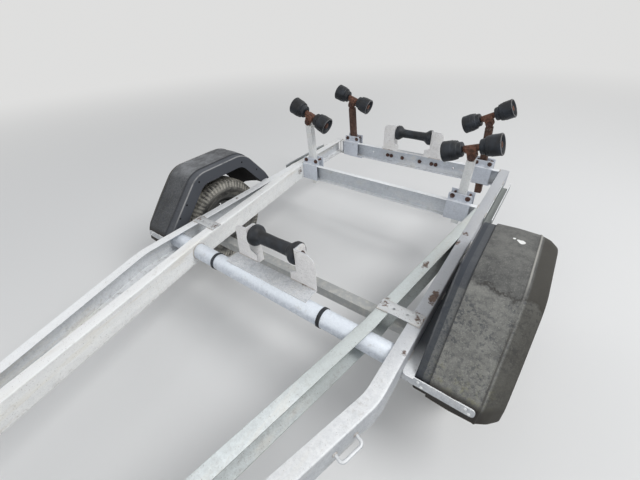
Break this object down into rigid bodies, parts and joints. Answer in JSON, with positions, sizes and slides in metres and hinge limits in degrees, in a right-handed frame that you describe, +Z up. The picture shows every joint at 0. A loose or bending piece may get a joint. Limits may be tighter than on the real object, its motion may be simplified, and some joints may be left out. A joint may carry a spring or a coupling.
{
  "type": "boat trailer",
  "caption": "Galvanised boat trailer with channel rails, one axle, moulded mudguards, keel rollers and tilting hull rollers on posts.",
  "frame": {"origin": "on the ground, under the centre of the bounding box", "axes": "+X to the trailer's right, +Y to its rear, +Z up"},
  "size_m": [1.858, 4.1863, 1.029],
  "materials": {
    "galvanised_steel": "weathered galvanised, mottled with rust flecks",
    "weathered_steel": "dull grey with rust",
    "rusty_iron": "rusted brown",
    "black_rubber": "satin, scuffed",
    "tyre_rubber": "dusty",
    "grey_paint": "chalky silver grey",
    "black_plastic": "faded, speckled and stained",
    "coupling_zinc": "dull cast",
    "zinc_plate": "dull zinc"
  },
  "bodies": {
    "frame": {"axle_arms": "weathered_steel", "axle_beam": "weathered_steel", "axle_saddles": "galvanised_steel", "coupling_handle": "coupling_zinc", "coupling_head": "coupling_zinc", "cross_member_front": "galvanised_steel", "cross_member_rear": "galvanised_steel", "cross_tube": "galvanised_steel", "guard_irons": "galvanised_steel", "head_plates": "galvanised_steel", "inner_rail_left": "galvanised_steel", "inner_rail_right": "galvanised_steel", "jockey_clamp": "galvanised_steel", "jockey_crank": "zinc_plate", "jockey_tube": "galvanised_steel", "keel_bracket_front": "galvanised_steel", "keel_bracket_rear": "galvanised_steel", "lashing_loops": "galvanised_steel", "light_sleeves": "galvanised_steel", "mudguard_left": "black_plastic", "mudguard_right": "black_plastic", "nose_beam": "galvanised_steel", "outer_rail_left": "galvanised_steel", "outer_rail_right": "galvanised_steel", "post_clamps": "galvanised_steel", "rail_ties": "galvanised_steel", "roller_posts": "weathered_steel", "tube_bands": "black_rubber", "winch_frame": "zinc_plate", "winch_post": "galvanised_steel"},
    "wheel_right": {"hub_right": "weathered_steel", "rim_right": "grey_paint", "tyre_right": "tyre_rubber"},
    "wheel_left": {"hub_left": "weathered_steel", "rim_left": "grey_paint", "tyre_left": "tyre_rubber"},
    "keel_roller_front": {"keel_roller_front": "black_rubber"},
    "keel_roller_rear": {"keel_roller_rear": "black_rubber"},
    "bow_roller": {"bow_roller": "black_rubber"},
    "winch_drum": {"winch_drum": "zinc_plate", "crank_grip": "black_plastic"},
    "jockey_leg": {"jockey_leg": "zinc_plate"},
    "jockey_fork": {"jockey_fork": "grey_paint"},
    "jockey_wheel": {"jockey_rim": "grey_paint", "jockey_tyre": "black_rubber"},
    "rocker_front_right": {"rocker_front_right": "rusty_iron"},
    "hull_rollers_front_right": {"hull_rollers_front_right": "black_rubber"},
    "rocker_front_left": {"rocker_front_left": "rusty_iron"},
    "hull_rollers_front_left": {"hull_rollers_front_left": "black_rubber"},
    "rocker_rear_right": {"rocker_rear_right": "rusty_iron"},
    "hull_rollers_rear_right": {"hull_rollers_rear_right": "black_rubber"},
    "rocker_rear_left": {"rocker_rear_left": "rusty_iron"},
    "hull_rollers_rear_left": {"hull_rollers_rear_left": "black_rubber"}
  },
  "joints": [
    {"name": "wheel_right_spin", "type": "hinge", "parent": "frame", "child": "wheel_right", "pos_m": [0.774, 0.859, 0.262], "axis": [1, 0, 0], "continuous": true},
    {"name": "wheel_left_spin", "type": "hinge", "parent": "frame", "child": "wheel_left", "pos_m": [-0.774, 0.859, 0.262], "axis": [1, 0, 0], "continuous": true},
    {"name": "rocker_front_right_tilt", "type": "hinge", "parent": "frame", "child": "rocker_front_right", "pos_m": [0.491, 1.5273, 0.683], "axis": [0, 1, 0], "range_deg": [-22, 58]},
    {"name": "hull_rollers_front_right_spin", "type": "hinge", "parent": "rocker_front_right", "child": "hull_rollers_front_right", "pos_m": [0.47864, 1.5273, 0.72104], "axis": [0.9511, 0, 0.309], "continuous": true},
    {"name": "rocker_front_left_tilt", "type": "hinge", "parent": "frame", "child": "rocker_front_left", "pos_m": [-0.534, 1.5273, 0.716], "axis": [0, 1, 0], "range_deg": [-62, 18]},
    {"name": "hull_rollers_front_left_spin", "type": "hinge", "parent": "rocker_front_left", "child": "hull_rollers_front_left", "pos_m": [-0.51902, 1.5273, 0.75309], "axis": [-0.9272, 0, 0.3746], "continuous": true},
    {"name": "rocker_rear_right_tilt", "type": "hinge", "parent": "frame", "child": "rocker_rear_right", "pos_m": [0.453, 2.0293, 0.699], "axis": [0, 1, 0], "range_deg": [-12, 68]},
    {"name": "hull_rollers_rear_right_spin", "type": "hinge", "parent": "rocker_rear_right", "child": "hull_rollers_rear_right", "pos_m": [0.43422, 2.0293, 0.73432], "axis": [0.8829, 0, 0.4695], "continuous": true},
    {"name": "rocker_rear_left_tilt", "type": "hinge", "parent": "frame", "child": "rocker_rear_left", "pos_m": [-0.514, 2.0293, 0.705], "axis": [0, 1, 0], "range_deg": [-58, 22]},
    {"name": "hull_rollers_rear_left_spin", "type": "hinge", "parent": "rocker_rear_left", "child": "hull_rollers_rear_left", "pos_m": [-0.50164, 2.0293, 0.74304], "axis": [-0.9511, 0, 0.309], "continuous": true},
    {"name": "keel_roller_front_spin", "type": "hinge", "parent": "frame", "child": "keel_roller_front", "pos_m": [0, 0.579, 0.5492], "axis": [1, 0, 0], "continuous": true},
    {"name": "keel_roller_rear_spin", "type": "hinge", "parent": "frame", "child": "keel_roller_rear", "pos_m": [0, 2.014, 0.561], "axis": [1, 0, 0], "continuous": true},
    {"name": "bow_roller_spin", "type": "hinge", "parent": "frame", "child": "bow_roller", "pos_m": [0, -0.942, 0.937], "axis": [1, 0, 0], "continuous": true},
    {"name": "winch_drum_spin", "type": "hinge", "parent": "frame", "child": "winch_drum", "pos_m": [0, -1.02, 0.837], "axis": [1, 0, 0], "continuous": true},
    {"name": "jockey_leg_slide", "type": "slide", "parent": "frame", "child": "jockey_leg", "axis": [0, 0, 1], "range_m": [-0.12, 0.075]},
    {"name": "jockey_fork_swivel", "type": "hinge", "parent": "jockey_leg", "child": "jockey_fork", "pos_m": [-0.142, -1.59, 0.218], "axis": [0, 0, 1], "continuous": true},
    {"name": "jockey_wheel_spin", "type": "hinge", "parent": "jockey_fork", "child": "jockey_wheel", "pos_m": [-0.142, -1.55, 0.1], "axis": [1, 0, 0], "continuous": true}
  ]
}
